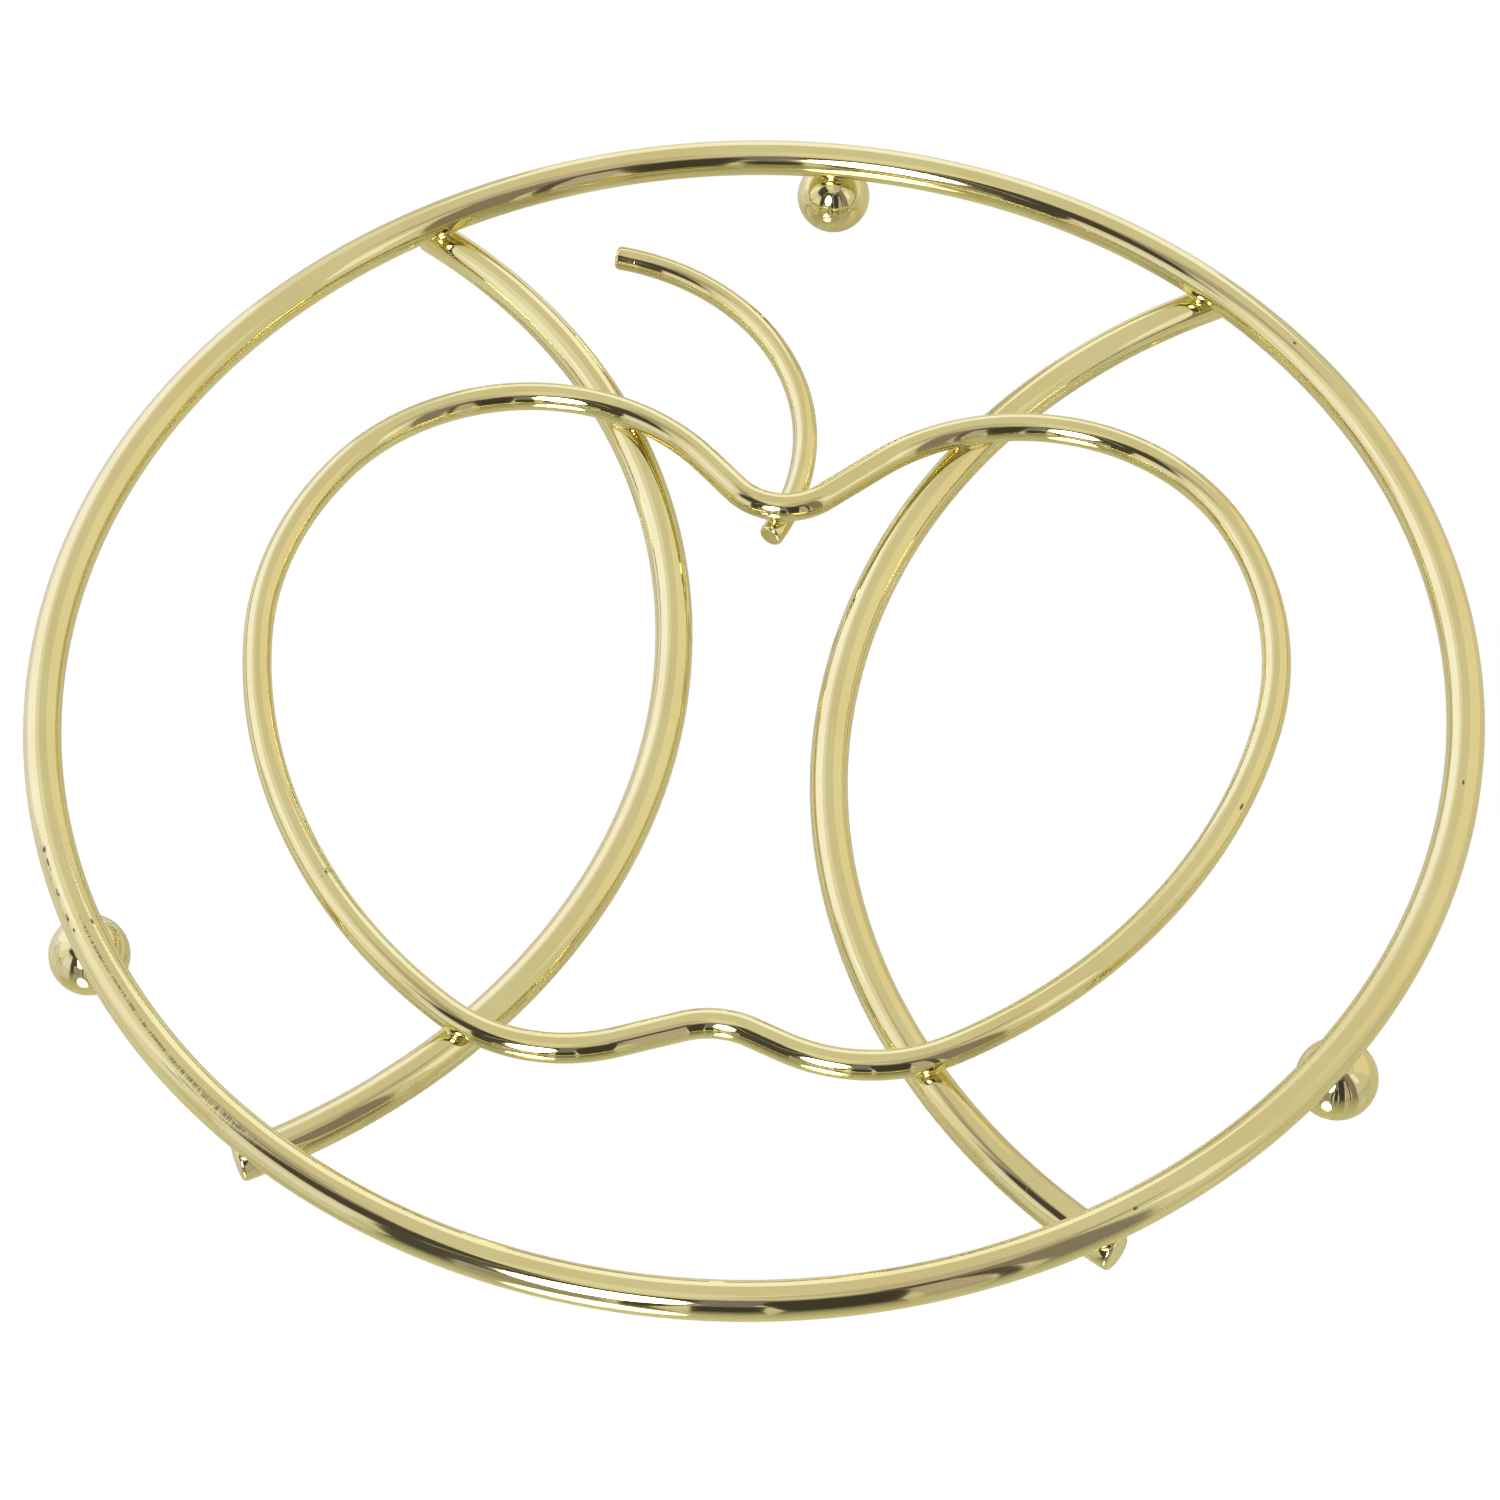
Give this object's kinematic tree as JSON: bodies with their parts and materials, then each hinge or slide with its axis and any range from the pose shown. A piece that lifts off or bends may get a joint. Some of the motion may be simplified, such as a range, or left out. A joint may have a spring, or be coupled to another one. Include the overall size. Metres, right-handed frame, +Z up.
{
  "type": "trivet",
  "caption": "Round wire trivet on ball feet: a ring welded to inward-curving bows that carry an apple outline and its stem, bright gold-coloured plating.",
  "frame": {"origin": "middle of the ring, on the surface that the feet stand on", "axes": "+Z up, +Y from the apple's bottom towards its stem, +X to the right of the apple"},
  "size_m": [0.2, 0.2028, 0.0158],
  "materials": {
    "ring_wire": "bright pale gold plating on steel wire, with fine scratches and a ground patch at the butt weld",
    "bow_wire": "bright pale gold plating on steel wire",
    "apple_wire": "bright pale gold plating on steel wire, scuffed at the butt weld",
    "stem_wire": "bright pale gold plating on steel wire",
    "foot_ball": "mirror bright pale gold plating on steel balls",
    "weld_metal": "rippled weld metal under the same plating, a little warmer in tone"
  },
  "bodies": {
    "root": {"outer_ring": "ring_wire", "left_bow": "bow_wire", "right_bow": "bow_wire", "apple_outline": "apple_wire", "stem": "stem_wire", "back_foot": "foot_ball", "left_foot": "foot_ball", "right_foot": "foot_ball", "ring_weld_back_left": "weld_metal", "ring_weld_back_right": "weld_metal", "ring_weld_front_left": "weld_metal", "ring_weld_front_right": "weld_metal", "apple_weld_back_left": "weld_metal", "apple_weld_back_right": "weld_metal", "apple_weld_front_left": "weld_metal", "apple_weld_front_right": "weld_metal", "back_foot_weld": "weld_metal", "left_foot_weld": "weld_metal", "right_foot_weld": "weld_metal", "stem_weld": "weld_metal", "ring_seam_weld": "weld_metal", "apple_seam_weld": "weld_metal"}
  },
  "joints": []
}
